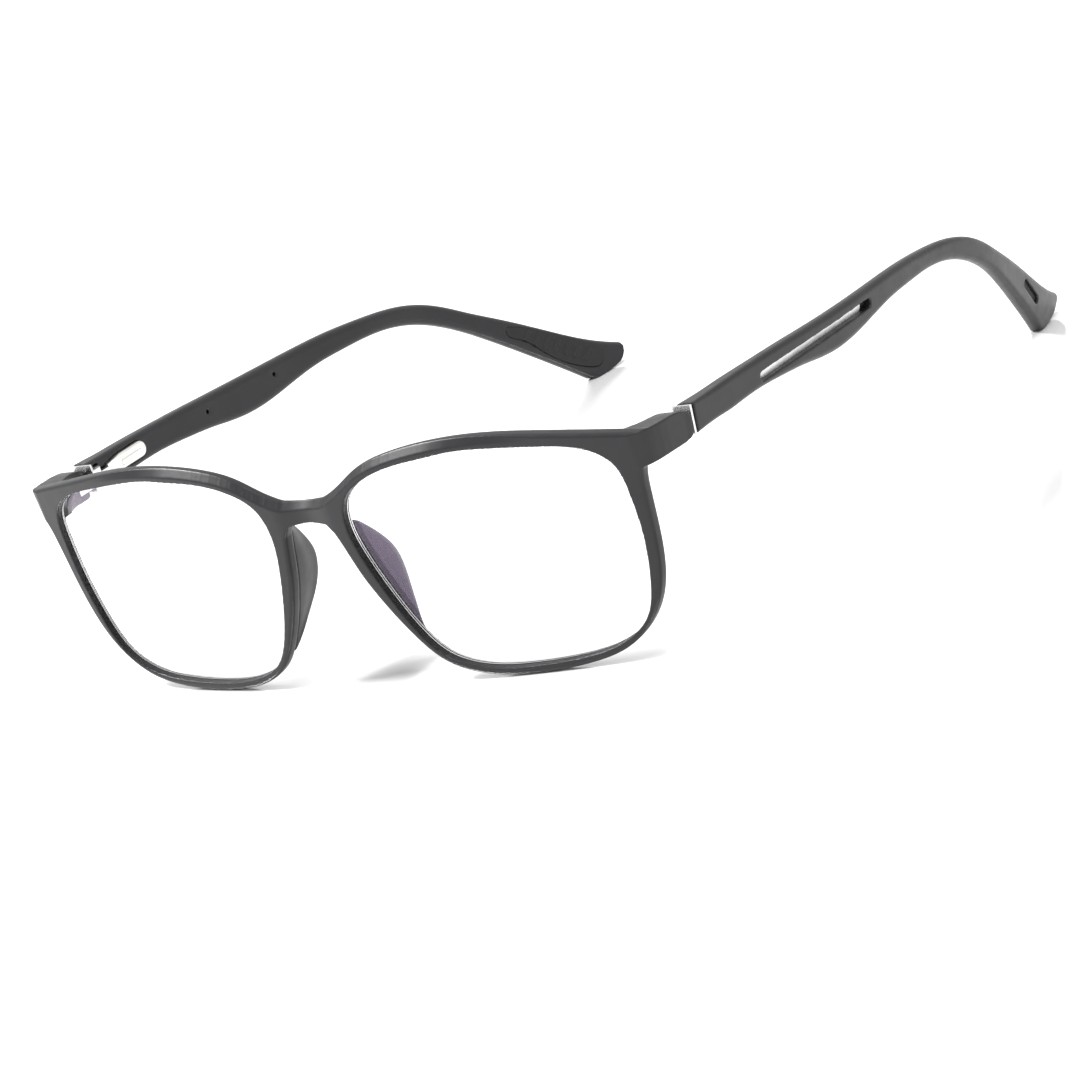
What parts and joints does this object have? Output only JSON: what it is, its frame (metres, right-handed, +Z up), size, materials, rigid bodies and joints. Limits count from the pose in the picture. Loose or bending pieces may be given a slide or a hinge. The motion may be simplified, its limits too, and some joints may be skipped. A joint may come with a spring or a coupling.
{
  "type": "blue light glasses",
  "caption": "Full-rim moulded glasses with clear blue-filter lenses, rigid nose pads and temples that fold on sprung hinges and grip behind the ears.",
  "frame": {"origin": "bottom centre of the bounding box, glasses standing open on the rims' bottoms and temple tips", "axes": "+X towards the wearer's left, +Y from the front back along the temples, +Z up; -Y is the way the wearer looks"},
  "size_m": [0.1374, 0.1636, 0.0433],
  "materials": {
    "frame_plastic": "fine matt, charcoal",
    "lens": "clear with a faint violet coating",
    "hinge_metal": "bright",
    "spring_wire": "drawn",
    "spring_box_metal": "satin, warm silver",
    "trim": "satin, very light",
    "grip_rubber": "soft matt"
  },
  "bodies": {
    "front": {"front_frame": "frame_plastic", "left_lens": "lens", "left_nose_pad": "frame_plastic", "left_hinge_leaf": "hinge_metal", "left_hinge_screw": "hinge_metal", "right_lens": "lens", "right_nose_pad": "frame_plastic", "right_hinge_leaf": "hinge_metal", "right_hinge_screw": "hinge_metal"},
    "left_hinge": {"left_hinge_slider": "hinge_metal", "left_spring_stop": "hinge_metal"},
    "left_temple": {"left_temple_arm": "frame_plastic", "left_spring_box": "spring_box_metal", "left_hinge_spring": "spring_wire", "left_temple_trim": "trim", "left_tip_grip": "grip_rubber"},
    "right_hinge": {"right_hinge_slider": "hinge_metal", "right_spring_stop": "hinge_metal"},
    "right_temple": {"right_temple_arm": "frame_plastic", "right_spring_box": "spring_box_metal", "right_hinge_spring": "spring_wire", "right_temple_trim": "trim", "right_tip_grip": "grip_rubber"}
  },
  "joints": [
    {"name": "left_temple_fold", "type": "hinge", "parent": "front", "child": "left_hinge", "pos_m": [0.0646, -0.0596, 0.03541], "axis": [0, 0, 1], "range_deg": [-8, 85]},
    {"name": "left_spring_slide", "type": "slide", "parent": "left_hinge", "child": "left_temple", "axis": [0, 1, 0], "range_m": [0, 0.0012], "stiffness_N_per_m": 2000, "springref_m": -0.0015, "deforming": ["left_hinge_spring"]},
    {"name": "right_temple_fold", "type": "hinge", "parent": "front", "child": "right_hinge", "pos_m": [-0.0646, -0.0596, 0.03541], "axis": [0, 0, -1], "range_deg": [-8, 90]},
    {"name": "right_spring_slide", "type": "slide", "parent": "right_hinge", "child": "right_temple", "axis": [0, 1, 0], "range_m": [0, 0.0012], "stiffness_N_per_m": 2000, "springref_m": -0.0015, "deforming": ["right_hinge_spring"]}
  ]
}
